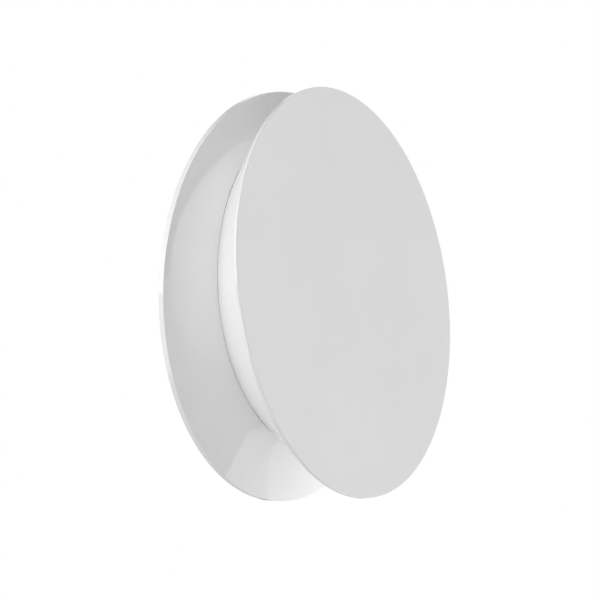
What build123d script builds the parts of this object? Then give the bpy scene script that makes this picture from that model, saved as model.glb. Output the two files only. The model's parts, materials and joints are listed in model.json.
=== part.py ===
from build123d import *
from math import asin, cos, radians, sin, sqrt
import os

# Concealed horizontal sidewall fire sprinkler head, millimetres.
# Row frame: +Z up, the head's axis lies along Y, and its cover plate faces -Y.
# The origin is the centre of the threaded inlet's end face.
# Every turned piece is drawn in the head's own bench frame: z is the depth behind
# the cover plate's front face, y is up, and x points to the row's -X.

# ---- cover: plate, retainer skirt and barrel ----------------------------------
COVER_RADIUS = 60.3          # 4 3/4 in cover plate
HEAD_LENGTH = 55.5           # cover plate's face to the inlet's end
PLATE_THICK = 0.9
PLATE_EDGE_BREAK = 0.12
COVER_GAP = 0.05             # flat joint between plate and retainer
SKIRT_INSET = 0.15           # skirt's front edge sits this far inside the plate's edge
SKIRT_SLOPE = 0.945          # radius lost per mm of depth, a 43.4 degree cone
SKIRT_WALL = 0.8
SKIRT_DEPTH = 24.5
LIP_INNER = 49.0             # skirt's turned-in front lip
BARREL_OUTER = 29.9
BARREL_WALL = 1.0
BARREL_END = 34.0
GRIP_SLOT_COUNT = 6
GRIP_SLOT_WIDTH = 1.2
GRIP_SLOT_START = 28.0

# ---- fusible pads and ejector springs -----------------------------------------
PAD_COUNT = 3
PAD_RADIUS = 3.5
PAD_CIRCLE = 53.5
PAD_CLEARANCE = 0.15
SPRING_WIDTH = 6.0
SPRING_THICK = 0.25
SPRING_OFFSET = 60.0         # springs sit midway between the solder pads
SPRING_TAIL = 2.4            # strip left outside the rivet
SPRING_HEEL = 1.0            # the leaf stays flat this far inside the lip
SPRING_TOUCH = 38.0          # radius where the leaf presses on the cover plate
SPRING_TOE = 1.5             # length of the turned-up toe
SPRING_TOE_LIFT = 0.5
SPRING_TOUCH_GAP = 0.15
RIVET_CIRCLE = 54.0
RIVET_SHANK = 0.8
RIVET_CLEARANCE = 0.05
RIVET_HEAD = 1.6
RIVET_HEAD_THICK = 0.6
RIVET_EDGE_BREAK = 0.25
RIVET_RECESS = 0.03

# ---- wall flange ----------------------------------------------------------------
FLANGE_TILT = 7.84           # wall flange against the head's axis, degrees
FLANGE_CLOCK = 16.3          # direction of that tilt, from straight down towards -X
PIVOT_DEPTH = 10.84          # point where the flange's axis crosses the head's axis
PIVOT_TO_RIM = 10.94
RIM_THICK = 1.6
RIM_WIDTH = 2.4
RIM_ANGLE = 25.7             # slope of the flared face at the rim, degrees
FLARE_RADIUS = 64.0          # the face curls steeper towards the middle on this radius
FLANGE_WALL = 1.4
DISH_INNER = 43.0            # dish blank's bore, before the retainer's pocket is cut
GASKET_INNER = 54.2
GASKET_RIM_GAP = 0.2
GASKET_FACE_GAP = 0.1
POCKET_GAP = 0.06            # conical seat against the retainer's cone
SEAT_START = 2.0             # seat blank's front, before the dish trims it
WELD_GAP = 0.03
COLLAR_INNER = 31.5
COLLAR_WALL = 1.2
COLLAR_START = 25.9
COLLAR_END = 33.0

# ---- support cup and its rings --------------------------------------------------
CUP_OUTER = 31.2
CUP_WALL = 1.0
CUP_START = 25.7
CUP_FLOOR = 35.5
CUP_FLOOR_THICK = 1.2
CUP_BORE_GAP = 0.05
VENT_COUNT = 8
VENT_RADIUS = 2.4
VENT_CIRCLE = 26.2
CUP_SLOT_COUNT = 6
CUP_SLOT_WIDTH = 5.0
CUP_SLOT_START = 28.0
CUP_SLOT_END = 30.6
LOCK_RING_INNER = 11.6
LOCK_RING_OUTER = 14.2
LOCK_RING_THICK = 1.2
LOCK_RING_MOUTH = 5.0
SNAP_GROOVE = 0.5
SNAP_OUTER = 33.4
SNAP_THICK = 1.0
SNAP_GAP = 0.3               # collar's end play in front of the snap ring
SNAP_MOUTH = 9.0
RING_FIT = 0.02

# ---- sprinkler body ---------------------------------------------------------------
BODY_FLANGE_RADIUS = 21.0
BODY_FLANGE_START = 31.9
SEAT_FACE = 31.0
SEAT_OUTER = 8.3
ORIFICE_RADIUS = 6.35
ORIFICE_END = 38.0
INLET_RADIUS = 7.6
INLET_START = 43.0
NECK_RADIUS = 12.5
HEX_ACROSS_FLATS = 25.4
HEX_START = 38.6
HEX_CORNER = 2.2             # corners stand this far outside the flats
HEX_BEVEL_INNER = 0.6
HEX_BEVEL = 0.9
THREAD_START = 42.0
THREAD_RADIUS = 10.45
THREAD_PITCH = 25.4 / 14     # 14 threads per inch
THREAD_DEPTH = 0.9
THREAD_TURNS = 7
THREAD_FLANK = 0.42          # half the groove's mouth, in pitches
THREAD_MOUTH_RISE = 0.3      # where the groove's mouth is measured, above the crests
ARM_INNER = 9.0
ARM_OUTER = 13.0
ARM_WIDTH = 5.0
BRIDGE_START = 10.5
BRIDGE_THICK = 3.5
BRIDGE_BOSS = 4.2

# ---- load screw, bulb and seal ------------------------------------------------------
SCREW_RADIUS = 2.5
SCREW_FIT = 0.02
SCREW_RECESS = 0.3
SCREW_PROUD = 0.6
SCREW_BEVEL = 0.4
SCREW_DIMPLE = 1.75
SCREW_DIMPLE_DEPTH = 0.75
SOCKET_ACROSS_FLATS = 2.5
SOCKET_DEPTH = 1.8
BULB_RADIUS = 1.5            # 3 mm quick-response bulb
BULB_WALL = 0.35
BULB_FRONT = 14.0
BULB_REAR = 28.9
BULB_NOSE_WALL = 0.5
BULB_SHOULDER = 3.4          # where the barrel starts to narrow, before the tail's end
BULB_TAIL = 1.6
BULB_TAIL_RADIUS = 0.75
BULB_TAIL_PLUG = 1.4
LIQUID_GAP = 0.02
CAP_FRONT = 27.9
CAP_CUP = 1.1
CAP_BOSS = 3.4
CAP_BOSS_BEVEL = 0.5
CAP_FLANGE_START = 29.2
CAP_FLANGE_END = 30.2
CAP_FLANGE = 8.0
CAP_FLANGE_BEVEL = 0.4
CAP_PLUG = 5.8
CAP_PLUG_BEVEL = 1.2
CAP_END = 34.2
FILM_INNER = 5.95
FILM_OUTER = 8.1
FILM_THICK = 0.12
DISC_INNER = 6.0
DISC_OUTER = 8.2
DISC_THICK = 0.28
DISC_FLAT = 0.6

# ---- guide housing, pins and deflector ------------------------------------------------
HOUSING_OUTER = 22.0
HOUSING_WALL = 0.95
HOUSING_START = 17.0
HOUSING_FRONT_THICK = 1.2
HOUSING_MOUTH = 13.6
HOUSING_BEVEL = 0.8
WINDOW_COUNT = 6
WINDOW_WIDTH = 8.0
WINDOW_START = 21.0
WINDOW_END = 29.0
PIN_SPACING = 34.0
PIN_RADIUS = 1.5
PIN_RUNNING_GAP = 0.08
PIN_PRESS_FIT = 0.02
PIN_NOSE_RADIUS = 2.4
PIN_NOSE_THICK = 0.8
PIN_HEAD_RADIUS = 2.6
PIN_HEAD_START = 29.4
PIN_HEAD_THICK = 1.2
DEFLECTOR_RADIUS = 20.0
DEFLECTOR_START = 8.0
DEFLECTOR_THICK = 1.3
TINE_ANGLES = (-66, -44, -22, 0, 22, 44, 66)
TINE_SLOT_WIDTH = 2.2
TINE_SLOT_ROOT = 8.6
HOOD_HEIGHT = 15.2
HOOD_WIDTH = 24.0
HOOD_FRONT = 2.4
HOOD_CORNER = 3.0
HUB_HEAD = 3.2
HUB_SHANK = 1.95
HUB_BORE = 2.0
HUB_TIP = 2.2
HUB_NOSE = 1.1
HUB_DOME = 0.1
HUB_UPSET = 1.2
HUB_UPSET_THICK = 0.7

OVERRUN = 1.0                # how far a cutter runs past the face it cuts

bench = Plane(origin=(0, -HEAD_LENGTH, 0), x_dir=(-1, 0, 0), z_dir=(0, 1, 0))


# ---- helpers ------------------------------------------------------------------
def turned(*points):
    """Solid of revolution about the head's axis from (radius, depth) corners."""
    return revolve(Plane.XZ * make_face(Polyline(*points, close=True)), Axis.Z)


def ring(inner, outer, start, end):
    """Plain ring, or a disc when inner is 0."""
    return turned((inner, start), (outer, start), (outer, end), (inner, end))


def rod(radius, start, end, x=0.0, y=0.0):
    """Cylinder along the head's axis at x, y."""
    disc = Cylinder(radius, end - start, align=(Align.CENTER, Align.CENTER, Align.MIN))
    return Pos(x, y, start) * disc


def block(width, height, start, end, x=0.0, y=0.0):
    """Box centred on x, y between two depths."""
    solid = Box(width, height, end - start, align=(Align.CENTER, Align.CENTER, Align.MIN))
    return Pos(x, y, start) * solid


def around(shape, count, first=0.0):
    """Copies of a shape spaced evenly round the head's axis."""
    return [Rot(0, 0, first + 360.0 * i / count) * shape for i in range(count)]


def save(name, shape):
    """Write one sub-part in the row frame."""
    placed = bench.location * shape
    placed.label = name
    export_step(placed, f"parts/{name}.step")


# ---- cover: plate, fusible pads, retainer and ejector springs -----------------
def retainer_front():
    return PLATE_THICK + COVER_GAP


def skirt_radius(depth, offset=0.0):
    """Radius of the retainer's outer cone, or of a cone parallel to it."""
    at_front = COVER_RADIUS - SKIRT_INSET
    return at_front - SKIRT_SLOPE * (depth - retainer_front()) + offset * sqrt(1 + SKIRT_SLOPE**2)


def cover_plate():
    disc = ring(0, COVER_RADIUS, 0, PLATE_THICK)
    return chamfer(disc.edges().group_by(Axis.Z)[0], PLATE_EDGE_BREAK)


def cover_retainer():
    """Flared skirt with its turned-in lip, pierced for the pads and the rivets."""
    front = retainer_front()
    lip_back = front + SKIRT_WALL
    skirt = turned(
        (LIP_INNER, front),
        (skirt_radius(front), front),
        (skirt_radius(SKIRT_DEPTH), SKIRT_DEPTH),
        (skirt_radius(SKIRT_DEPTH, -SKIRT_WALL), SKIRT_DEPTH),
        (skirt_radius(lip_back, -SKIRT_WALL), lip_back),
        (LIP_INNER, lip_back),
    )
    pad_hole = rod(PAD_RADIUS + PAD_CLEARANCE, front - OVERRUN, lip_back + OVERRUN, 0, PAD_CIRCLE)
    rivet_hole = rod(RIVET_SHANK + RIVET_CLEARANCE, front - OVERRUN, lip_back + OVERRUN, 0, RIVET_CIRCLE)
    skirt -= around(pad_hole, PAD_COUNT)
    skirt -= around(rivet_hole, PAD_COUNT, SPRING_OFFSET)
    return skirt


def retainer_barrel():
    """Slotted barrel that grips the support cup, welded behind the skirt by its foot."""
    foot_outer = skirt_radius(SKIRT_DEPTH)
    foot_back = SKIRT_DEPTH + SKIRT_WALL
    barrel_inner = BARREL_OUTER - BARREL_WALL
    barrel = turned(
        (barrel_inner, SKIRT_DEPTH),
        (foot_outer, SKIRT_DEPTH),
        (foot_outer - SKIRT_WALL, foot_back),
        (BARREL_OUTER, foot_back),
        (BARREL_OUTER, BARREL_END),
        (barrel_inner, BARREL_END),
    )
    slot_height = 4 * BARREL_WALL
    slot = block(GRIP_SLOT_WIDTH, slot_height, GRIP_SLOT_START, BARREL_END + OVERRUN, 0, BARREL_OUTER)
    barrel -= around(slot, GRIP_SLOT_COUNT, 180.0 / GRIP_SLOT_COUNT)
    return barrel


def solder_pad(index):
    pad = rod(PAD_RADIUS, PLATE_THICK, retainer_front() + SKIRT_WALL, 0, PAD_CIRCLE)
    return Rot(0, 0, 360.0 * index / PAD_COUNT) * pad


def ejector_spring(index):
    """Leaf riveted behind the lip, its toe pressing on the back of the cover plate."""
    back = retainer_front() + SKIRT_WALL
    touch = PLATE_THICK + SPRING_TOUCH_GAP
    t = SPRING_THICK
    strip = Polyline(
        (LIP_INNER - SPRING_HEEL, back),
        (RIVET_CIRCLE + SPRING_TAIL, back),
        (RIVET_CIRCLE + SPRING_TAIL, back + t),
        (LIP_INNER - SPRING_HEEL, back + t),
        (SPRING_TOUCH, touch + t),
        (SPRING_TOUCH - SPRING_TOE, touch + SPRING_TOE_LIFT + t),
        (SPRING_TOUCH - SPRING_TOE - t, touch + SPRING_TOE_LIFT),
        (SPRING_TOUCH, touch),
        close=True,
    )
    leaf = extrude(Plane.YZ * make_face(strip), SPRING_WIDTH / 2, both=True)
    leaf -= rod(RIVET_SHANK + RIVET_CLEARANCE, back - OVERRUN, back + OVERRUN, 0, RIVET_CIRCLE)
    return Rot(0, 0, SPRING_OFFSET + 360.0 * index / PAD_COUNT) * leaf


def spring_rivets():
    head_start = retainer_front() + SKIRT_WALL + SPRING_THICK
    shank = rod(RIVET_SHANK, retainer_front() + RIVET_RECESS, head_start, 0, RIVET_CIRCLE)
    head = rod(RIVET_HEAD, head_start, head_start + RIVET_HEAD_THICK, 0, RIVET_CIRCLE)
    rivet = chamfer((shank + head).edges().group_by(Axis.Z)[-1], RIVET_EDGE_BREAK)
    return Compound(children=around(rivet, PAD_COUNT, SPRING_OFFSET))


# ---- wall flange: dish with its rim, conical seat with its collar, gasket -------
def flange_place():
    """Place of the rim's front edge, its z pointing at the wall."""
    tilt = radians(FLANGE_TILT)
    clock = radians(FLANGE_CLOCK)
    to_wall = Vector(-sin(tilt) * sin(clock), sin(tilt) * cos(clock), cos(tilt))
    centre = Vector(0, 0, PIVOT_DEPTH) + to_wall * PIVOT_TO_RIM
    return Plane(origin=centre, z_dir=to_wall).location


def dish_point(angle, offset=0.0):
    """Point where the flared face slopes by angle, or of a face behind it by offset."""
    centre_radius = COVER_RADIUS + FLARE_RADIUS * sin(radians(RIM_ANGLE))
    centre_depth = -FLARE_RADIUS * cos(radians(RIM_ANGLE))
    reach = FLARE_RADIUS + offset
    return (centre_radius - reach * sin(angle), centre_depth + reach * cos(angle))


def dish_angle(radius, offset=0.0):
    """Slope of that face at a radius."""
    centre_radius = COVER_RADIUS + FLARE_RADIUS * sin(radians(RIM_ANGLE))
    return asin((centre_radius - radius) / (FLARE_RADIUS + offset))


def dish_outline(outer, inner, offset, *corners):
    """Face spun from the flared curve between two radii, closed through the corners."""
    first, last = dish_angle(outer, offset), dish_angle(inner, offset)
    ends = dish_point(first, offset), dish_point(last, offset)
    curve = ThreePointArc(ends[0], dish_point((first + last) / 2, offset), ends[1])
    rest = Polyline(ends[1], *corners, ends[0])
    return revolve(Plane.XZ * make_face([curve, rest]), Axis.Z)


def wall_flange():
    """Flared face and rim, opened where the retainer's cone passes through."""
    rim_inner = COVER_RADIUS - RIM_WIDTH
    face = dish_outline(
        COVER_RADIUS, DISH_INNER, 0.0, (DISH_INNER, RIM_THICK), (COVER_RADIUS, RIM_THICK)
    )
    bore = DISH_INNER - OVERRUN
    hollow = dish_outline(rim_inner, bore, FLANGE_WALL, (bore, HEAD_LENGTH), (rim_inner, HEAD_LENGTH))
    pocket = turned(
        (0, SEAT_START),
        (skirt_radius(SEAT_START, POCKET_GAP), SEAT_START),
        (skirt_radius(COLLAR_START, POCKET_GAP), COLLAR_START),
        (0, COLLAR_START),
    )
    return flange_place() * (face - hollow) - pocket


def flange_collar():
    """Conical seat welded behind the dish, and the collar that turns on the support cup."""
    back = POCKET_GAP + COLLAR_WALL
    web_back = COLLAR_START + COLLAR_WALL
    collar_outer = COLLAR_INNER + COLLAR_WALL
    seat = turned(
        (skirt_radius(SEAT_START, POCKET_GAP), SEAT_START),
        (skirt_radius(SEAT_START, back), SEAT_START),
        (skirt_radius(web_back, back), web_back),
        (collar_outer, web_back),
        (collar_outer, COLLAR_END),
        (COLLAR_INNER, COLLAR_END),
        (COLLAR_INNER, COLLAR_START),
        (skirt_radius(COLLAR_START, POCKET_GAP), COLLAR_START),
    )
    behind = FLANGE_WALL + WELD_GAP
    inside = dish_point(dish_angle(DISH_INNER, behind), behind)[1]
    behind_dish = flange_place() * dish_outline(
        COVER_RADIUS, DISH_INNER, behind, (0, inside), (0, HEAD_LENGTH), (COVER_RADIUS, HEAD_LENGTH)
    )
    return seat & behind_dish


def wall_gasket():
    outer = COVER_RADIUS - RIM_WIDTH - GASKET_RIM_GAP
    clear = FLANGE_WALL + GASKET_FACE_GAP
    return flange_place() * dish_outline(
        outer, GASKET_INNER, clear, (GASKET_INNER, RIM_THICK), (outer, RIM_THICK)
    )


# ---- sprinkler body, support cup and rings ------------------------------------
def body_core():
    """Turned flange, neck with the lock ring's groove, and thread blank."""
    groove = CUP_FLOOR + CUP_FLOOR_THICK
    return turned(
        (0, BODY_FLANGE_START),
        (BODY_FLANGE_RADIUS, BODY_FLANGE_START),
        (BODY_FLANGE_RADIUS, CUP_FLOOR),
        (NECK_RADIUS, CUP_FLOOR),
        (NECK_RADIUS, groove),
        (LOCK_RING_INNER, groove),
        (LOCK_RING_INNER, groove + LOCK_RING_THICK),
        (NECK_RADIUS, groove + LOCK_RING_THICK),
        (NECK_RADIUS, HEX_START),
        (THREAD_RADIUS, HEX_START),
        (THREAD_RADIUS, HEAD_LENGTH),
        (0, HEAD_LENGTH),
    )


def wrench_boss():
    """Hexagon with bevelled corners."""
    flat = HEX_ACROSS_FLATS / 2
    hexagon = RegularPolygon(flat, 6, major_radius=False)
    prism = extrude(Pos(0, 0, HEX_START) * hexagon, THREAD_START - HEX_START)
    corners = turned(
        (0, HEX_START),
        (flat + HEX_BEVEL_INNER, HEX_START),
        (flat + HEX_CORNER, HEX_START + HEX_BEVEL),
        (flat + HEX_CORNER, THREAD_START - HEX_BEVEL),
        (flat + HEX_BEVEL_INNER, THREAD_START),
        (0, THREAD_START),
    )
    return prism & corners


def yoke_frame():
    """Two arms joined by the bridge that carries the load screw."""
    bridge_back = BRIDGE_START + BRIDGE_THICK
    middle = (ARM_INNER + ARM_OUTER) / 2
    yoke = block(ARM_WIDTH, 2 * ARM_OUTER, BRIDGE_START, bridge_back)
    yoke += rod(BRIDGE_BOSS, BRIDGE_START, bridge_back)
    for side in (-1, 1):
        arm_end = BODY_FLANGE_START + OVERRUN
        yoke += block(ARM_WIDTH, ARM_OUTER - ARM_INNER, BRIDGE_START, arm_end, 0, side * middle)
    return yoke - rod(SCREW_RADIUS + SCREW_FIT, BRIDGE_START - OVERRUN, bridge_back + OVERRUN)


def waterway():
    """Orifice opening out to the inlet."""
    return turned(
        (0, SEAT_FACE - OVERRUN),
        (ORIFICE_RADIUS, SEAT_FACE - OVERRUN),
        (ORIFICE_RADIUS, ORIFICE_END),
        (INLET_RADIUS, INLET_START),
        (INLET_RADIUS, HEAD_LENGTH + OVERRUN),
        (0, HEAD_LENGTH + OVERRUN),
    )


def thread_groove(index):
    middle = THREAD_START + THREAD_PITCH * (index + 0.5)
    return turned(
        (THREAD_RADIUS - THREAD_DEPTH, middle),
        (THREAD_RADIUS + THREAD_MOUTH_RISE, middle - THREAD_PITCH * THREAD_FLANK),
        (THREAD_RADIUS + THREAD_MOUTH_RISE, middle + THREAD_PITCH * THREAD_FLANK),
    )


def sprinkler_body():
    seat = ring(ORIFICE_RADIUS - OVERRUN, SEAT_OUTER, SEAT_FACE, BODY_FLANGE_START)
    body = body_core() + wrench_boss() + seat + yoke_frame()
    body -= waterway()
    for index in range(THREAD_TURNS):
        body -= thread_groove(index)
    return body


def support_cup():
    """Vented cup that holds the retainer's barrel inside and the flange's collar outside."""
    inner = CUP_OUTER - CUP_WALL
    bore = NECK_RADIUS + CUP_BORE_GAP
    floor_back = CUP_FLOOR + CUP_FLOOR_THICK
    groove_start = COLLAR_END + SNAP_GAP
    cup = turned(
        (inner, CUP_START),
        (CUP_OUTER, CUP_START),
        (CUP_OUTER, groove_start),
        (CUP_OUTER - SNAP_GROOVE, groove_start),
        (CUP_OUTER - SNAP_GROOVE, groove_start + SNAP_THICK),
        (CUP_OUTER, groove_start + SNAP_THICK),
        (CUP_OUTER, floor_back),
        (bore, floor_back),
        (bore, CUP_FLOOR),
        (inner, CUP_FLOOR),
    )
    vent = rod(VENT_RADIUS, CUP_FLOOR - OVERRUN, floor_back + OVERRUN, 0, VENT_CIRCLE)
    slot = block(CUP_SLOT_WIDTH, 6 * CUP_WALL, CUP_SLOT_START, CUP_SLOT_END, 0, CUP_OUTER)
    cup -= around(vent, VENT_COUNT, 180.0 / VENT_COUNT)
    cup -= around(slot, CUP_SLOT_COUNT)
    return cup


def open_ring(inner, outer, start, thick, mouth):
    """Spring ring with a gap at the bottom."""
    full = ring(inner, outer, start, start + thick)
    height = outer - inner + 2 * OVERRUN
    gap = block(mouth, height, start - OVERRUN, start + thick + OVERRUN, 0, -(inner + outer) / 2)
    return full - gap


def cup_lock_ring():
    inner = LOCK_RING_INNER + RING_FIT
    return open_ring(inner, LOCK_RING_OUTER, CUP_FLOOR + CUP_FLOOR_THICK, LOCK_RING_THICK, LOCK_RING_MOUTH)


def flange_snap_ring():
    inner = CUP_OUTER - SNAP_GROOVE + RING_FIT
    return open_ring(inner, SNAP_OUTER, COLLAR_END + SNAP_GAP, SNAP_THICK, SNAP_MOUTH)


# ---- seal, bulb and load screw ------------------------------------------------
def valve_cap():
    """Cap pressed on the orifice by the bulb, its tail cupped in the front boss."""
    return turned(
        (0, BULB_REAR),
        (CAP_CUP, BULB_REAR),
        (CAP_CUP, CAP_FRONT),
        (CAP_BOSS - CAP_BOSS_BEVEL, CAP_FRONT),
        (CAP_BOSS, CAP_FRONT + CAP_BOSS_BEVEL),
        (CAP_BOSS, CAP_FLANGE_START),
        (CAP_FLANGE - CAP_FLANGE_BEVEL, CAP_FLANGE_START),
        (CAP_FLANGE, CAP_FLANGE_START + CAP_FLANGE_BEVEL),
        (CAP_FLANGE, CAP_FLANGE_END),
        (CAP_PLUG, CAP_FLANGE_END),
        (CAP_PLUG, CAP_END - CAP_PLUG_BEVEL),
        (CAP_PLUG - CAP_PLUG_BEVEL, CAP_END),
        (0, CAP_END),
    )


def seal_film():
    return ring(FILM_INNER, FILM_OUTER, CAP_FLANGE_END, CAP_FLANGE_END + FILM_THICK)


def disc_spring():
    """Conical spring washer, thin section sloping from its inner to its outer edge."""
    front = CAP_FLANGE_END + FILM_THICK
    return turned(
        (DISC_INNER, front),
        (DISC_INNER + DISC_FLAT, front),
        (DISC_OUTER, SEAT_FACE - DISC_THICK),
        (DISC_OUTER, SEAT_FACE),
        (DISC_OUTER - DISC_FLAT, SEAT_FACE),
        (DISC_INNER, front + DISC_THICK),
    )


def bulb_solid(shrink, front, rear):
    """Bulb with a round nose in front and a drawn tail behind."""
    body = BULB_RADIUS - shrink
    tail = BULB_TAIL_RADIUS - shrink / 2
    half_turn = radians(45)
    nose_middle = (body * sin(half_turn), front + body * (1 - cos(half_turn)))
    outline = [
        ThreePointArc((0, front), nose_middle, (body, front + body)),
        Line((body, front + body), (body, rear - BULB_SHOULDER)),
        Spline((body, rear - BULB_SHOULDER), (tail, rear - BULB_TAIL), tangents=[(0, 1), (0, 1)]),
        Line((tail, rear - BULB_TAIL), (tail, rear)),
        Line((tail, rear), (0, rear)),
        Line((0, rear), (0, front)),
    ]
    return revolve(Plane.XZ * make_face(outline), Axis.Z)


def bulb_cavity(clearance):
    """Space inside the glass, or the liquid that nearly fills it."""
    front = BULB_FRONT + BULB_NOSE_WALL + clearance
    rear = BULB_REAR - BULB_TAIL_PLUG - clearance
    return bulb_solid(BULB_WALL + clearance, front, rear)


def glass_bulb():
    return bulb_solid(0.0, BULB_FRONT, BULB_REAR) - bulb_cavity(0.0)


def load_screw():
    start = BRIDGE_START + SCREW_RECESS
    end = BRIDGE_START + BRIDGE_THICK + SCREW_PROUD
    screw = turned(
        (0, start),
        (SCREW_RADIUS - SCREW_BEVEL, start),
        (SCREW_RADIUS, start + SCREW_BEVEL),
        (SCREW_RADIUS, end - SCREW_BEVEL),
        (SCREW_RADIUS - SCREW_BEVEL, end),
        (SCREW_DIMPLE, end),
        (0, end - SCREW_DIMPLE_DEPTH),
    )
    hexagon = RegularPolygon(SOCKET_ACROSS_FLATS / 2, 6, major_radius=False)
    socket = extrude(Pos(0, 0, start) * hexagon, SOCKET_DEPTH)
    return screw - socket


# ---- guide housing, guide pins and deflector ----------------------------------
def guide_housing():
    """Windowed shell round the yoke, its front drilled for the guide pins."""
    inner = HOUSING_OUTER - HOUSING_WALL
    front_back = HOUSING_START + HOUSING_FRONT_THICK
    shell = turned(
        (HOUSING_MOUTH, HOUSING_START),
        (HOUSING_OUTER - HOUSING_BEVEL, HOUSING_START),
        (HOUSING_OUTER, HOUSING_START + HOUSING_BEVEL),
        (HOUSING_OUTER, CUP_FLOOR),
        (inner, CUP_FLOOR),
        (inner, front_back),
        (HOUSING_MOUTH, front_back),
    )
    window = block(WINDOW_WIDTH, 6 * HOUSING_WALL, WINDOW_START, WINDOW_END, 0, HOUSING_OUTER)
    shell -= around(window, WINDOW_COUNT, 180.0 / WINDOW_COUNT)
    pin_hole = PIN_RADIUS + PIN_RUNNING_GAP
    for side in (-1, 1):
        shell -= rod(pin_hole, HOUSING_START - OVERRUN, front_back + OVERRUN, side * PIN_SPACING / 2)
    return shell


def guide_pin(side):
    x = side * PIN_SPACING / 2
    head_end = PIN_HEAD_START + PIN_HEAD_THICK
    shank = rod(PIN_RADIUS, DEFLECTOR_START - PIN_NOSE_THICK, head_end, x)
    nose = rod(PIN_NOSE_RADIUS, DEFLECTOR_START - PIN_NOSE_THICK, DEFLECTOR_START, x)
    head = rod(PIN_HEAD_RADIUS, PIN_HEAD_START, head_end, x)
    return shank + nose + head


def deflector():
    """Slotted disc with a flat top edge folded forward into a hood."""
    back = DEFLECTOR_START + DEFLECTOR_THICK
    near, far = DEFLECTOR_START - OVERRUN, back + OVERRUN
    plate = ring(0, DEFLECTOR_RADIUS, DEFLECTOR_START, back)
    slot_length = DEFLECTOR_RADIUS - TINE_SLOT_ROOT + OVERRUN
    slot = block(TINE_SLOT_WIDTH, slot_length, near, far, 0, -TINE_SLOT_ROOT - slot_length / 2)
    slot += rod(TINE_SLOT_WIDTH / 2, near, far, 0, -TINE_SLOT_ROOT)
    for angle in TINE_ANGLES:
        plate -= Rot(0, 0, angle) * slot
    trim = DEFLECTOR_RADIUS - HOOD_HEIGHT + OVERRUN
    plate -= block(2 * DEFLECTOR_RADIUS, trim, near, far, 0, HOOD_HEIGHT + trim / 2)
    hood = block(HOOD_WIDTH, DEFLECTOR_THICK, HOOD_FRONT, back, 0, HOOD_HEIGHT - DEFLECTOR_THICK / 2)
    plate += fillet(hood.edges().filter_by(Axis.Y).group_by(Axis.Z)[0], HOOD_CORNER)
    plate -= rod(HUB_BORE, near, far)
    for side in (-1, 1):
        plate -= rod(PIN_RADIUS + PIN_PRESS_FIT, near, far, side * PIN_SPACING / 2)
    return plate


def deflector_hub():
    """Riveted splitter that turns the jet outwards."""
    back = DEFLECTOR_START + DEFLECTOR_THICK
    tip = DEFLECTOR_START - HUB_NOSE
    return turned(
        (0, tip),
        (HUB_TIP, tip + HUB_DOME),
        (HUB_HEAD, DEFLECTOR_START),
        (HUB_SHANK, DEFLECTOR_START),
        (HUB_SHANK, back),
        (HUB_HEAD, back),
        (HUB_UPSET, back + HUB_UPSET_THICK),
        (0, back + HUB_UPSET_THICK + HUB_DOME),
    )


# ---- write every sub-part -----------------------------------------------------
os.makedirs("parts", exist_ok=True)

save("cover_plate", cover_plate())
save("cover_retainer", cover_retainer())
save("retainer_barrel", retainer_barrel())
for index in range(PAD_COUNT):
    save(f"solder_pad_{index + 1}", solder_pad(index))
    save(f"ejector_spring_{index + 1}", ejector_spring(index))
save("spring_rivets", spring_rivets())

save("wall_flange", wall_flange())
save("flange_collar", flange_collar())
save("wall_gasket", wall_gasket())

save("sprinkler_body", sprinkler_body())
save("support_cup", support_cup())
save("cup_lock_ring", cup_lock_ring())
save("flange_snap_ring", flange_snap_ring())

save("valve_cap", valve_cap())
save("seal_film", seal_film())
save("disc_spring", disc_spring())
save("glass_bulb", glass_bulb())
save("bulb_liquid", bulb_cavity(LIQUID_GAP))
save("load_screw", load_screw())

save("guide_housing", guide_housing())
save("guide_pin_left", guide_pin(1))
save("guide_pin_right", guide_pin(-1))
save("deflector", deflector())
save("deflector_hub", deflector_hub())
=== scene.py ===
import json
from math import cos, pi, radians, sin, sqrt, tau

import bmesh
import bpy
from mathutils import Matrix, Vector, noise


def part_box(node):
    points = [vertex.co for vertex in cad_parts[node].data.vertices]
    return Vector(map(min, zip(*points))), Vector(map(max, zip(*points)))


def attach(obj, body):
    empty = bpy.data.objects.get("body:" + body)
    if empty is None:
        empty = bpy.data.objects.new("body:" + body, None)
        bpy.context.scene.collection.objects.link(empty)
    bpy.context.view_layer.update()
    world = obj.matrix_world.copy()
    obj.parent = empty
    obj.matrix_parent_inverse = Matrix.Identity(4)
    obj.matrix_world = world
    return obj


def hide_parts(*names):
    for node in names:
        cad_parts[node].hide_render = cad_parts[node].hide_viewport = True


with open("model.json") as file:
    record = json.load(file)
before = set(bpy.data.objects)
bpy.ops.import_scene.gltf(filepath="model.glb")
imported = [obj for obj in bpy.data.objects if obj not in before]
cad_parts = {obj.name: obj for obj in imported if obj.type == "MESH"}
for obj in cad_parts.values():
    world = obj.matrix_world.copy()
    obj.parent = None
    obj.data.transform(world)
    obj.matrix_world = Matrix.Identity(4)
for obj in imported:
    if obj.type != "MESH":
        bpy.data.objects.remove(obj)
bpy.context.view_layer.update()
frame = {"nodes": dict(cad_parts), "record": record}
scene = bpy.context.scene
scene.view_settings.view_transform = "Standard"

# ---- places worked out from the frame -----------------------------------------
plate_low, plate_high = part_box("cover_plate")
COVER_RADIUS = (plate_high.x - plate_low.x) / 2
FACE_Y = plate_low.y
PIVOT_DEPTH = 0.01084          # behind the cover's face, where the wall flange's axis crosses
PIVOT = Vector((0, FACE_Y + PIVOT_DEPTH, 0))

# ---- camera -------------------------------------------------------------------
CAMERA_AZIMUTH = -58.21
CAMERA_ELEVATION = -13.49
CAMERA_DISTANCE = 16.197 * COVER_RADIUS
CAMERA_LENS = 200
SENSOR_WIDTH = 36
AIM_RIGHT = -0.00502           # aim beside and below the pivot, in the camera's own axes
AIM_UP = -0.00107


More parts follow.
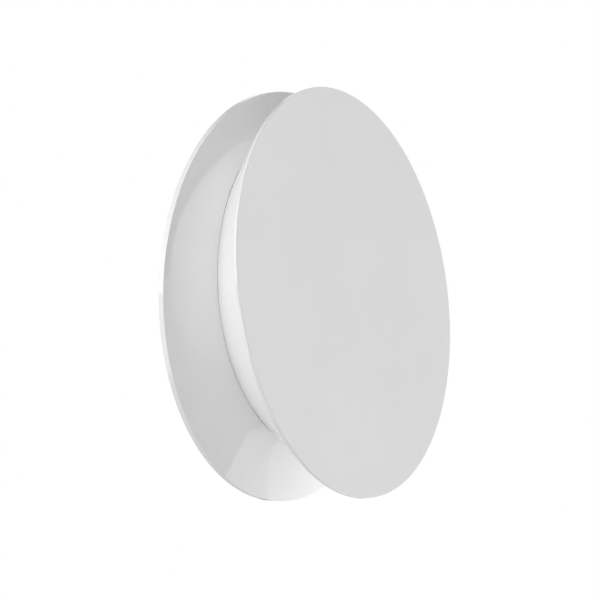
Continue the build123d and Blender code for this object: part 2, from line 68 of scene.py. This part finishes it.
def direction(azimuth, elevation):
    """Unit vector from the head: azimuth 0 is the room in front, 90 is to the right."""
    a, e = radians(azimuth), radians(elevation)
    return Vector((sin(a) * cos(e), -cos(a) * cos(e), sin(e)))


def make_camera():
    """Long-lens camera, a little below the head and to its left."""
    back = direction(CAMERA_AZIMUTH, CAMERA_ELEVATION)
    right = Vector((0, 0, 1)).cross(back).normalized()
    up = back.cross(right)
    aim = PIVOT + right * AIM_RIGHT + up * AIM_UP
    data = bpy.data.cameras.new("camera")
    data.lens = CAMERA_LENS
    data.sensor_width = SENSOR_WIDTH
    camera = bpy.data.objects.new("camera", data)
    axes = Matrix((right, up, back)).transposed().to_4x4()
    camera.matrix_world = Matrix.Translation(aim + back * CAMERA_DISTANCE) @ axes
    scene.collection.objects.link(camera)
    scene.camera = camera


make_camera()


# ---- node helper --------------------------------------------------------------
class Graph:
    """Short way to add and wire shader nodes."""

    def __init__(self, tree):
        self.tree = tree
        tree.nodes.clear()

    def add(self, kind, inputs=None, **settings):
        node = self.tree.nodes.new(kind)
        for name, value in settings.items():
            setattr(node, name, value)
        for key, value in (inputs or {}).items():
            if isinstance(value, bpy.types.NodeSocket):
                self.tree.links.new(value, node.inputs[key])
            else:
                node.inputs[key].default_value = value
        return node

    def math(self, operation, a, b=0.0):
        return self.add("ShaderNodeMath", {0: a, 1: b}, operation=operation).outputs[0]

    def remap(self, value, low, high, to_low=0.0, to_high=1.0, smooth=False):
        limits = {"Value": value, "From Min": low, "From Max": high, "To Min": to_low, "To Max": to_high}
        kind = "SMOOTHSTEP" if smooth else "LINEAR"
        return self.add("ShaderNodeMapRange", limits, interpolation_type=kind).outputs["Result"]

    def mix(self, factor, a, b):
        node = self.add("ShaderNodeMix", data_type="RGBA")
        sockets = {"Factor": node.inputs[0], "A": node.inputs[6], "B": node.inputs[7]}
        for key, value in (("Factor", factor), ("A", a), ("B", b)):
            if isinstance(value, bpy.types.NodeSocket):
                self.tree.links.new(value, sockets[key])
            else:
                sockets[key].default_value = value
        return node.outputs[2]


# ---- studio light -------------------------------------------------------------
# Soft glows round the head: azimuth, elevation, full and fade half-angles, strength.
GLOWS = (
    (-152, 0, 5, 34, 1.6),
    (-120, 10, 10, 40, 0.6),
    (-115, 25, 20, 80, 1.25),
    (-100, 10, 10, 45, 1.2),
    (-90, 70, 15, 60, 0.4),
    (30, 8, 10, 38, 1.47),
    (62, 0, 10, 38, 1.0),
    (58, 15, 25, 60, 0.28),
    (124, 26, 8, 26, 1.4),
)
AMBIENT = 0.02
# Soft panels below the head: azimuth, elevation, distance, width, height, strength.
# The first two give the stepped reflections in the wall flange's lower part.
PANELS = (
    (74, -33, 0.42, 0.36, 0.46, 0.72),
    (91, -28, 0.42, 0.30, 0.40, 0.4),
    (-135, -19, 0.5, 0.3, 0.3, 0.9),
)
FLOOR_Z = -0.45
FLOOR_HALF_SIZE = 8.0
FLOOR_LIFT = 0.24             # the floor looks this much paler to the camera than it is lit


def make_world():
    """White to the camera; to everything else a dim room with the soft glows in it."""
    world = bpy.data.worlds.new("studio")
    scene.world = world
    world.use_nodes = True
    g = Graph(world.node_tree)
    place = g.add("ShaderNodeTexCoord").outputs["Generated"]
    total = None
    for azimuth, elevation, full, fade, strength in GLOWS:
        toward = direction(azimuth, elevation)
        dot = g.add("ShaderNodeVectorMath", {0: place, 1: toward}, operation="DOT_PRODUCT")
        edge, core = cos(radians(fade)), cos(radians(full))
        glow = g.remap(dot.outputs["Value"], edge, core, 0.0, strength, smooth=True)
        total = g.math("ADD", glow, AMBIENT if total is None else total)
    lit = g.add("ShaderNodeBackground", {"Strength": total})
    seen = g.add("ShaderNodeBackground", {"Color": (1, 1, 1, 1)})
    direct = g.add("ShaderNodeLightPath").outputs["Is Camera Ray"]
    both = g.add("ShaderNodeMixShader", {0: direct, 1: lit.outputs[0], 2: seen.outputs[0]})
    g.add("ShaderNodeOutputWorld", {"Surface": both.outputs[0]})


def make_panel(index, azimuth, elevation, distance, width, height, strength):
    """Rectangular soft light facing the head, not seen by the camera."""
    data = bpy.data.lights.new(f"panel_{index}", "AREA")
    data.shape = "RECTANGLE"
    data.size = width
    data.size_y = height
    data.energy = strength * pi * width * height
    panel = bpy.data.objects.new(f"panel_{index}", data)
    away = direction(azimuth, elevation)
    panel.location = PIVOT + away * distance
    panel.rotation_mode = "QUATERNION"
    panel.rotation_quaternion = (-away).to_track_quat("-Z", "Y")
    panel.visible_camera = False
    scene.collection.objects.link(panel)


def make_floor():
    """Plain pale floor well below the head."""
    mesh = bpy.data.meshes.new("floor")
    made = bmesh.new()
    bmesh.ops.create_grid(made, x_segments=4, y_segments=4, size=FLOOR_HALF_SIZE)
    made.to_mesh(mesh)
    made.free()
    floor = bpy.data.objects.new("floor", mesh)
    floor.location = (0, 0, FLOOR_Z)
    scene.collection.objects.link(floor)
    material = bpy.data.materials.new("floor_paint")
    material.use_nodes = True
    g = Graph(material.node_tree)
    grain = g.add("ShaderNodeTexNoise", {"Scale": 3.0, "Detail": 4.0})
    colour = g.mix(grain.outputs["Fac"], (0.84, 0.84, 0.84, 1), (0.88, 0.88, 0.88, 1))
    lift = g.math("MULTIPLY", g.add("ShaderNodeLightPath").outputs["Is Camera Ray"], FLOOR_LIFT)
    shader = g.add(
        "ShaderNodeBsdfPrincipled",
        {"Base Color": colour, "Roughness": 0.9, "Emission Color": (1, 1, 1, 1), "Emission Strength": lift},
    )
    g.add("ShaderNodeOutputMaterial", {"Surface": shader.outputs[0]})
    mesh.materials.append(material)


make_world()
for index, panel in enumerate(PANELS):
    make_panel(index, *panel)
make_floor()


# ---- materials ----------------------------------------------------------------
def material_graph(name):
    material = bpy.data.materials.new(name)
    material.use_nodes = True
    return material, Graph(material.node_tree)


def finish_material(g, **sockets):
    """Principled surface from keyword sockets, such as Base_Color for Base Color."""
    inputs = {key.replace("_", " "): value for key, value in sockets.items()}
    shader = g.add("ShaderNodeBsdfPrincipled", inputs)
    g.add("ShaderNodeOutputMaterial", {"Surface": shader.outputs[0]})


def position(g):
    return g.add("ShaderNodeTexCoord").outputs["Object"]


def bump(g, height, distance, strength=1.0):
    inputs = {"Strength": strength, "Distance": distance, "Height": height}
    return g.add("ShaderNodeBump", inputs).outputs["Normal"]


def tone(colour, factor):
    return (*(min(1.0, part * factor) for part in colour), 1)


def enamel(name, colour):
    """Sprayed gloss white, with painted shade on faces turned sideways to the axis, such as the rims: faint
    cloudiness, orange peel, a few specks.
    """
    material, g = material_graph(name)
    here = position(g)
    cloud = g.add("ShaderNodeTexNoise", {"Vector": here, "Scale": 28.0, "Detail": 3.0, "Roughness": 0.5})
    base = g.mix(g.remap(cloud.outputs["Fac"], 0.35, 0.65), tone(colour, 0.988), tone(colour, 1.012))
    specks = g.add("ShaderNodeTexVoronoi", {"Vector": here, "Scale": 420.0, "Randomness": 1.0})
    speck = g.remap(specks.outputs["Distance"], 0.03, 0.06, 0.94, 1.0)
    base = g.mix(speck, tone(colour, 0.9), base)
    # painted shade: faces whose normal lies mostly across the axis, such as the rims, get 0.87 of the white
    # to dim the light on them
    facing = g.add("ShaderNodeSeparateXYZ", {"Vector": g.add("ShaderNodeTexCoord").outputs["Normal"]})
    edge = g.remap(g.math("ABSOLUTE", facing.outputs["Y"]), 0.22, 0.3, smooth=True)
    base = g.mix(edge, tone(colour, 0.87), base)
    peel = g.add("ShaderNodeTexNoise", {"Vector": here, "Scale": 520.0, "Detail": 1.5, "Roughness": 0.4})
    coat = bump(g, peel.outputs["Fac"], 0.00001, 0.15)
    dull = g.remap(cloud.outputs["Fac"], 0.3, 0.7, 0.46, 0.54)
    finish_material(
        g, Base_Color=base, Roughness=dull, Specular_IOR_Level=0.0,
        Coat_Weight=1.0, Coat_Roughness=0.04, Coat_IOR=1.8, Coat_Normal=coat,
    )
    return material


def turned_metal(name, colour, roughness, pitch, tarnish):
    """Lathe-turned metal: fine rings across the axis, patchy tarnish and bright rubbed spots."""
    material, g = material_graph(name)
    here = position(g)
    rings = g.add(
        "ShaderNodeTexWave",
        {"Vector": here, "Scale": 1 / pitch, "Distortion": 1.2, "Detail": 2.0, "Detail Scale": 90.0},
        wave_type="BANDS", bands_direction="Y", wave_profile="SIN",
    )
    patches = g.add("ShaderNodeTexNoise", {"Vector": here, "Scale": 140.0, "Detail": 5.0, "Roughness": 0.6})
    fine = g.add("ShaderNodeTexNoise", {"Vector": here, "Scale": 2600.0, "Detail": 2.0})
    worn = g.remap(patches.outputs["Fac"], 0.35, 0.7, smooth=True)
    base = g.mix(worn, tone(colour, 1.06), tone(colour, 1.0 - tarnish))
    base = g.mix(g.remap(rings.outputs["Fac"], 0.0, 1.0, 0.0, 0.12), base, tone(colour, 0.6))
    dull = g.remap(patches.outputs["Fac"], 0.3, 0.75, roughness * 0.8, roughness * 1.5)
    height = g.math("ADD", rings.outputs["Fac"], g.math("MULTIPLY", fine.outputs["Fac"], 0.5))
    finish_material(
        g, Base_Color=base, Metallic=1.0, Roughness=dull, Normal=bump(g, height, 0.00002, 0.35),
    )
    return material


def cast_metal(name, colour, roughness):
    """Tumbled casting: pebbled skin, darker in its pits."""
    material, g = material_graph(name)
    here = position(g)
    pebble = g.add("ShaderNodeTexVoronoi", {"Vector": here, "Scale": 1500.0}, feature="SMOOTH_F1")
    stain = g.add("ShaderNodeTexNoise", {"Vector": here, "Scale": 160.0, "Detail": 6.0, "Roughness": 0.65})
    pit = g.remap(pebble.outputs["Distance"], 0.2, 0.8, 0.0, 0.35)
    base = g.mix(g.remap(stain.outputs["Fac"], 0.35, 0.7), tone(colour, 1.05), tone(colour, 0.72))
    base = g.mix(pit, base, tone(colour, 0.5))
    dull = g.remap(stain.outputs["Fac"], 0.3, 0.7, roughness * 0.85, roughness * 1.35)
    finish_material(
        g, Base_Color=base, Metallic=1.0, Roughness=dull,
        Normal=bump(g, pebble.outputs["Distance"], 0.00005, 0.3),
    )
    return material


def plated_sheet(name, colour, roughness, tint):
    """Rolled and plated sheet: long grain, soft spangle and a slightly coloured film."""
    material, g = material_graph(name)
    here = position(g)
    spangle = g.add("ShaderNodeTexVoronoi", {"Vector": here, "Scale": 260.0}, feature="F1")
    cells = g.add("ShaderNodeSeparateColor", {"Color": spangle.outputs["Color"]}).outputs[0]
    film = g.add("ShaderNodeTexNoise", {"Vector": here, "Scale": 60.0, "Detail": 4.0, "Distortion": 0.6})
    along = g.add("ShaderNodeMapping", {"Vector": here, "Scale": (40.0, 2400.0, 40.0)}).outputs[0]
    grain = g.add("ShaderNodeTexNoise", {"Vector": along, "Scale": 1.0, "Detail": 3.0})
    base = g.mix(g.remap(film.outputs["Fac"], 0.35, 0.65), (*colour, 1), (*tint, 1))
    base = g.mix(g.remap(cells, 0.0, 1.0, 0.0, 0.18), base, tone(colour, 0.7))
    streak = g.remap(grain.outputs["Fac"], 0.3, 0.7, -0.04, 0.04)
    dull = g.math("ADD", g.remap(cells, 0.0, 1.0, roughness * 0.85, roughness * 1.15), streak)
    finish_material(
        g, Base_Color=base, Metallic=1.0, Roughness=dull, Normal=bump(g, grain.outputs["Fac"], 0.00001, 0.3),
    )
    return material


def solder_metal(name, colour):
    """Dull frozen solder: rippled, frosty and grey."""
    material, g = material_graph(name)
    here = position(g)
    ripple = g.add("ShaderNodeTexNoise", {"Vector": here, "Scale": 700.0, "Detail": 3.0, "Distortion": 1.5})
    frost = g.add("ShaderNodeTexVoronoi", {"Vector": here, "Scale": 2400.0})
    frosted = g.remap(frost.outputs["Distance"], 0.0, 0.8, 0.0, 0.6)
    base = g.mix(frosted, tone(colour, 1.15), tone(colour, 0.7))
    dull = g.remap(ripple.outputs["Fac"], 0.3, 0.7, 0.38, 0.6)
    finish_material(
        g, Base_Color=base, Metallic=1.0, Roughness=dull, Normal=bump(g, ripple.outputs["Fac"], 0.00006, 0.5),
    )
    return material


def film_plastic(name, colour):
    """Skived slippery film: milky, with fine parallel skiving lines."""
    material, g = material_graph(name)
    here = position(g)
    skive = {"Vector": here, "Scale": 900.0, "Distortion": 0.8}
    lines = g.add("ShaderNodeTexWave", skive, bands_direction="X")
    milk = g.add("ShaderNodeTexNoise", {"Vector": here, "Scale": 500.0, "Detail": 3.0})
    base = g.mix(milk.outputs["Fac"], tone(colour, 0.93), tone(colour, 1.04))
    dull = g.remap(lines.outputs["Fac"], 0.0, 1.0, 0.35, 0.5)
    finish_material(
        g, Base_Color=base, Roughness=dull, Subsurface_Weight=0.2, Subsurface_Scale=0.0005,
        Normal=bump(g, lines.outputs["Fac"], 0.000005, 0.4),
    )
    return material


def foam(name, colour):
    """Closed-cell foam: fine burst cells on the cut faces, dusted grey on the high spots."""
    material, g = material_graph(name)
    here = position(g)
    cells = g.add("ShaderNodeTexVoronoi", {"Vector": here, "Scale": 1800.0}, feature="F1")
    dust = g.add("ShaderNodeTexNoise", {"Vector": here, "Scale": 90.0, "Detail": 5.0})
    base = g.mix(g.remap(cells.outputs["Distance"], 0.1, 0.7), tone(colour, 0.55), tone(colour, 1.5))
    base = g.mix(g.remap(dust.outputs["Fac"], 0.5, 0.8, 0.0, 0.25), base, tone(colour, 3.0))
    finish_material(
        g, Base_Color=base, Roughness=g.remap(dust.outputs["Fac"], 0.3, 0.7, 0.82, 0.95),
        Normal=bump(g, cells.outputs["Distance"], 0.00015, 0.8),
    )
    return material


def glass(name):
    """Drawn glass with faint length-wise striations."""
    material, g = material_graph(name)
    here = position(g)
    along = g.add("ShaderNodeMapping", {"Vector": here, "Scale": (2200.0, 60.0, 2200.0)}).outputs[0]
    streak = g.add("ShaderNodeTexNoise", {"Vector": along, "Scale": 1.0, "Detail": 2.0})
    base = g.mix(streak.outputs["Fac"], (0.97, 0.985, 0.98, 1), (1.0, 1.0, 1.0, 1))
    finish_material(
        g, Base_Color=base, Roughness=g.remap(streak.outputs["Fac"], 0.2, 0.8, 0.0, 0.05),
        Transmission_Weight=1.0, IOR=1.47, Normal=bump(g, streak.outputs["Fac"], 0.000004, 0.3),
    )
    return material


def liquid(name, colour):
    """Dyed bulb liquid, a little denser in colour towards its middle."""
    material, g = material_graph(name)
    here = position(g)
    swirl = g.add("ShaderNodeTexNoise", {"Vector": here, "Scale": 300.0, "Detail": 2.0, "Distortion": 2.0})
    base = g.mix(swirl.outputs["Fac"], tone(colour, 0.85), tone(colour, 1.15))
    finish_material(
        g, Base_Color=base, Roughness=g.remap(swirl.outputs["Fac"], 0.3, 0.7, 0.02, 0.08),
        Transmission_Weight=0.55, IOR=1.36, Emission_Strength=0.0,
    )
    return material


SLOT_MATERIALS = {
    "cover_enamel": enamel("cover_enamel", (0.8, 0.8, 0.8)),
    "retainer_enamel": enamel("retainer_enamel", (0.8, 0.8, 0.8)),
    "flange_enamel": enamel("flange_enamel", (0.8, 0.8, 0.8)),
    "cast_brass": cast_metal("cast_brass", (0.72, 0.5, 0.22), 0.34),
    "bronze": turned_metal("bronze", (0.66, 0.42, 0.22), 0.26, 0.00035, 0.3),
    "nickel_brass": turned_metal("nickel_brass", (0.68, 0.65, 0.56), 0.24, 0.0004, 0.18),
    "zinc_steel": plated_sheet("zinc_steel", (0.62, 0.64, 0.66), 0.36, (0.66, 0.64, 0.54)),
    "spring_steel": plated_sheet("spring_steel", (0.1, 0.1, 0.105), 0.42, (0.14, 0.12, 0.1)),
    "pin_steel": turned_metal("pin_steel", (0.6, 0.6, 0.61), 0.18, 0.0003, 0.12),
    "spring_bronze": turned_metal("spring_bronze", (0.72, 0.47, 0.22), 0.3, 0.0005, 0.25),
    "coated_nickel": plated_sheet("coated_nickel", (0.5, 0.47, 0.42), 0.4, (0.44, 0.4, 0.36)),
    "solder": solder_metal("solder", (0.5, 0.51, 0.53)),
    "seal_film": film_plastic("seal_film", (0.82, 0.81, 0.77)),
    "foam_rubber": foam("foam_rubber", (0.045, 0.045, 0.047)),
    "bulb_glass": glass("bulb_glass"),
    "bulb_liquid": liquid("bulb_liquid", (0.75, 0.02, 0.015)),
}

for part in frame["record"]["subparts"]:
    node = frame["nodes"][part["node"]]
    node.data.materials.clear()
    node.data.materials.append(SLOT_MATERIALS[part["material_slot"]])


# ---- foam gasket behind the wall flange ---------------------------------------
MOUNT_AXES = {mount["name"]: mount["axis"] for mount in frame["record"]["mounts"]}
WALL_AXIS = Vector(MOUNT_AXES["wall_face"]).normalized()
PIVOT_TO_RIM = 0.01094
RIM_PLACE = PIVOT + WALL_AXIS * PIVOT_TO_RIM
GASKET_INNER = 0.05432
GASKET_OUTER = 0.05758
GASKET_REAR = 0.0016
GASKET_ROUND = 0.00035
GASKET_STEPS = 240
CORNER_STEPS = 5
EDGE_SHRINK = 0.03             # share by which each section pulls in, and how much that varies
BUTT_SHRINK = 0.14             # the same where the strip's two ends meet
# The flared dish's rear face, an arc in the plane through its axis.
FLARE_CENTRE_RADIUS = 0.088055
FLARE_CENTRE_DEPTH = -0.057669
FLARE_REACH = 0.06558


def flare_depth(radius):
    """Depth behind the rim's front edge of a face that just clears the dish."""
    return FLARE_CENTRE_DEPTH + sqrt(FLARE_REACH**2 - (FLARE_CENTRE_RADIUS - radius) ** 2)


def rounded(corners, size):
    """Closed outline with each corner turned by a short curve."""
    outline = []
    for index, corner in enumerate(corners):
        before = corner + (corners[index - 1] - corner).normalized() * size
        after = corner + (corners[(index + 1) % len(corners)] - corner).normalized() * size
        for step in range(CORNER_STEPS):
            t = step / (CORNER_STEPS - 1)
            outline.append(before * (1 - t) ** 2 + corner * 2 * t * (1 - t) + after * t * t)
    return outline


def gasket_outline():
    """Section as (radius, depth): flat on the wall, sloped where it backs the dish."""
    corners = (
        Vector((GASKET_INNER, GASKET_REAR)),
        Vector((GASKET_OUTER, GASKET_REAR)),
        Vector((GASKET_OUTER, flare_depth(GASKET_OUTER))),
        Vector((GASKET_INNER, flare_depth(GASKET_INNER))),
    )
    return rounded(corners, GASKET_ROUND)


def make_gasket():
    """Ring of foam strip, its edges a little uneven, pinched where its two ends butt."""
    outline = gasket_outline()
    middle = sum(outline, Vector((0, 0))) / len(outline)
    turn = Vector((0, 0, 1)).rotation_difference(WALL_AXIS).to_matrix()
    made = bmesh.new()
    rings = []
    for step in range(GASKET_STEPS):
        angle = tau * step / GASKET_STEPS
        ring = []
        for spot in outline:
            rough = noise.noise(Vector((cos(angle), sin(angle), spot.x * 900)) * 9)
            shrink = BUTT_SHRINK if step == 0 else EDGE_SHRINK * (1 + rough)
            radius = spot.x + (middle.x - spot.x) * shrink
            depth = spot.y if spot.y == GASKET_REAR else spot.y + (middle.y - spot.y) * shrink
            place = Vector((radius * cos(angle), radius * sin(angle), depth))
            ring.append(made.verts.new(RIM_PLACE + turn @ place))
        rings.append(ring)
    for step, ring in enumerate(rings):
        following = rings[(step + 1) % GASKET_STEPS]
        for index in range(len(ring)):
            after = (index + 1) % len(ring)
            made.faces.new((ring[index], ring[after], following[after], following[index]))
    bmesh.ops.recalc_face_normals(made, faces=made.faces)
    mesh = bpy.data.meshes.new("gasket_ring")
    made.to_mesh(mesh)
    made.free()
    mesh.materials.append(SLOT_MATERIALS["foam_rubber"])
    for face in mesh.polygons:
        face.use_smooth = True
    gasket = bpy.data.objects.new("gasket_ring", mesh)
    scene.collection.objects.link(gasket)
    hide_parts("wall_gasket")
    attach(gasket, "flange")


make_gasket()
